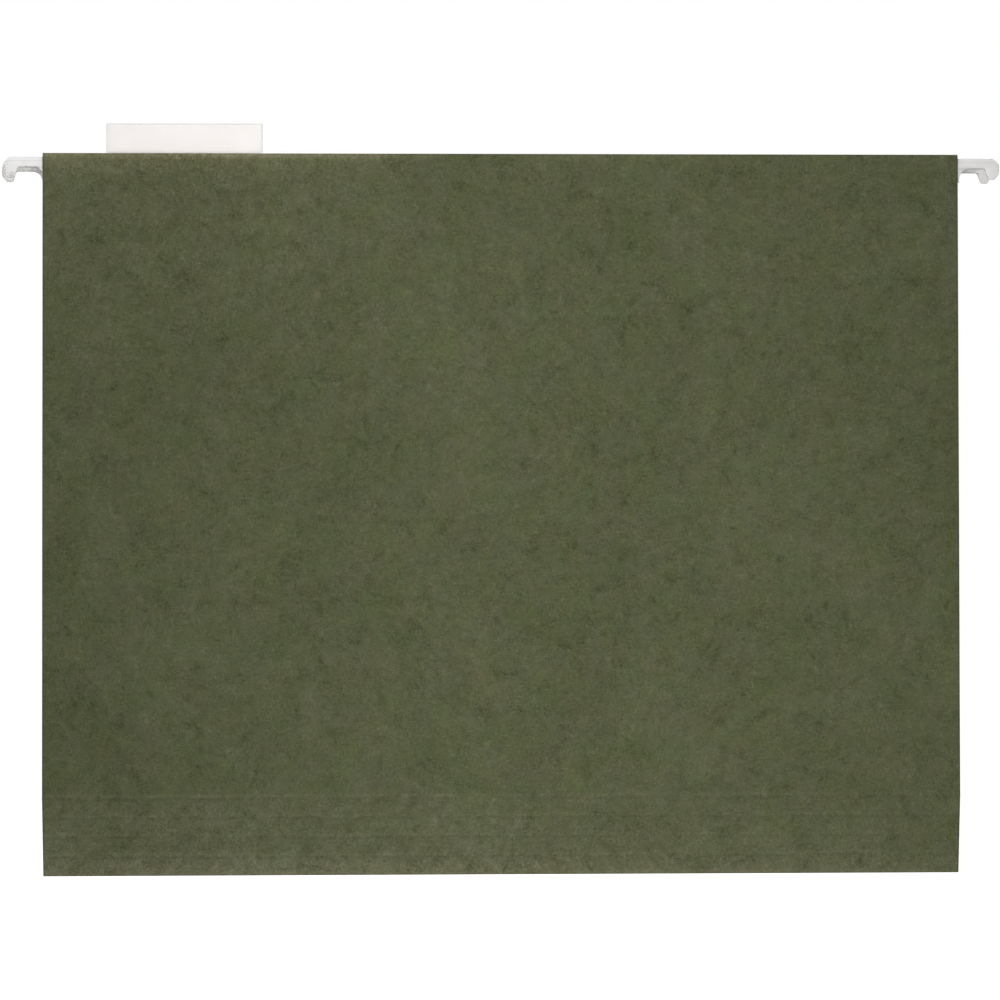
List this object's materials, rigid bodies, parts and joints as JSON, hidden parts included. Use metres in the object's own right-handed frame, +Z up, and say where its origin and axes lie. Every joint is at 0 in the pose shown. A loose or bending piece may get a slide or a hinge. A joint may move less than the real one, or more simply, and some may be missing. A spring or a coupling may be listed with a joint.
{
  "type": "hanging file folder",
  "caption": "Letter-size hanging file folder of green board with hooked steel rods in its top hems, score lines along its bottom fold and a clear label tab.",
  "frame": {"origin": "midway between the two rails and between the two flaps, at the height where the back rod's hooks sit on the rails", "axes": "+X along the rods, +Y from the front flap to the back flap, along the rails, +Z up"},
  "size_m": [0.3263, 0.0088, 0.2447],
  "materials": {
    "folder_board": "matte",
    "hem_glue": "satin",
    "rod_steel": "satin",
    "hook_coat": "satin",
    "tab_plastic": "gloss",
    "label_paper": "matte"
  },
  "bodies": {
    "back_rod": {"back_rod": "rod_steel", "back_rod_left_tip": "hook_coat", "back_rod_right_tip": "hook_coat"},
    "back_panel": {"back_panel": "folder_board", "back_hem_glue": "hem_glue"},
    "front_rod": {"front_rod": "rod_steel", "front_rod_left_tip": "hook_coat", "front_rod_right_tip": "hook_coat"},
    "front_panel": {"front_panel": "folder_board", "front_hem_glue": "hem_glue"},
    "tab": {"tab": "tab_plastic"},
    "label": {"label": "label_paper"},
    "back_strip_4": {"back_strip_4": "folder_board"},
    "back_strip_3": {"back_strip_3": "folder_board"},
    "back_strip_2": {"back_strip_2": "folder_board"},
    "back_strip_1": {"back_strip_1": "folder_board", "bottom_fold": "folder_board"},
    "front_strip_4": {"front_strip_4": "folder_board"},
    "front_strip_3": {"front_strip_3": "folder_board"},
    "front_strip_2": {"front_strip_2": "folder_board"},
    "front_strip_1": {"front_strip_1": "folder_board"}
  },
  "joints": [
    {"name": "rod_spread", "type": "slide", "parent": "back_rod", "child": "front_rod", "axis": [0, -1, 0], "range_m": [0, 0.016]},
    {"name": "back_sheet_shift", "type": "slide", "parent": "back_rod", "child": "back_panel", "axis": [1, 0, 0], "range_m": [-0.0015, 0.0015]},
    {"name": "front_sheet_shift", "type": "slide", "parent": "front_rod", "child": "front_panel", "axis": [1, 0, 0], "range_m": [-0.0015, 0.0015]},
    {"name": "back_score_4", "type": "hinge", "parent": "back_panel", "child": "back_strip_4", "pos_m": [0, 0.0041, -0.20398], "axis": [1, 0, 0], "range_deg": [-7.71, 0]},
    {"name": "back_score_3", "type": "hinge", "parent": "back_strip_4", "child": "back_strip_3", "pos_m": [0, 0.00313, -0.21041], "axis": [1, 0, 0], "range_deg": [-7.71, 0]},
    {"name": "back_score_2", "type": "hinge", "parent": "back_strip_3", "child": "back_strip_2", "pos_m": [0, 0.00216, -0.21683], "axis": [1, 0, 0], "range_deg": [-7.71, 0]},
    {"name": "back_score_1", "type": "hinge", "parent": "back_strip_2", "child": "back_strip_1", "pos_m": [0, 0.00119, -0.22326], "axis": [1, 0, 0], "range_deg": [-7.71, 0]},
    {"name": "front_score_4", "type": "hinge", "parent": "front_panel", "child": "front_strip_4", "pos_m": [0, -0.0041, -0.20398], "axis": [1, 0, 0], "range_deg": [0, 7.71]},
    {"name": "front_score_3", "type": "hinge", "parent": "front_strip_4", "child": "front_strip_3", "pos_m": [0, -0.00313, -0.21041], "axis": [1, 0, 0], "range_deg": [0, 7.71]},
    {"name": "front_score_2", "type": "hinge", "parent": "front_strip_3", "child": "front_strip_2", "pos_m": [0, -0.00216, -0.21683], "axis": [1, 0, 0], "range_deg": [0, 7.71]},
    {"name": "front_score_1", "type": "hinge", "parent": "front_strip_2", "child": "front_strip_1", "pos_m": [0, -0.00119, -0.22326], "axis": [1, 0, 0], "range_deg": [0, 7.71]},
    {"name": "tab_pull", "type": "slide", "parent": "front_panel", "child": "tab", "axis": [0, 0, 1], "range_m": [0, 0.02]},
    {"name": "label_pull", "type": "slide", "parent": "tab", "child": "label", "axis": [-1, 0, 0], "range_m": [0, 0.055]}
  ],
  "couplings": [
    {"joint": "front_sheet_shift", "follows": "back_sheet_shift", "ratio": 1},
    {"joint": "back_score_4", "follows": "rod_spread", "rad_per_m": -8.4},
    {"joint": "back_score_3", "follows": "rod_spread", "rad_per_m": -8.4},
    {"joint": "back_score_2", "follows": "rod_spread", "rad_per_m": -8.4},
    {"joint": "back_score_1", "follows": "rod_spread", "rad_per_m": -8.4},
    {"joint": "front_score_4", "follows": "rod_spread", "rad_per_m": 8.4},
    {"joint": "front_score_3", "follows": "rod_spread", "rad_per_m": 8.4},
    {"joint": "front_score_2", "follows": "rod_spread", "rad_per_m": 8.4},
    {"joint": "front_score_1", "follows": "rod_spread", "rad_per_m": 8.4}
  ]
}
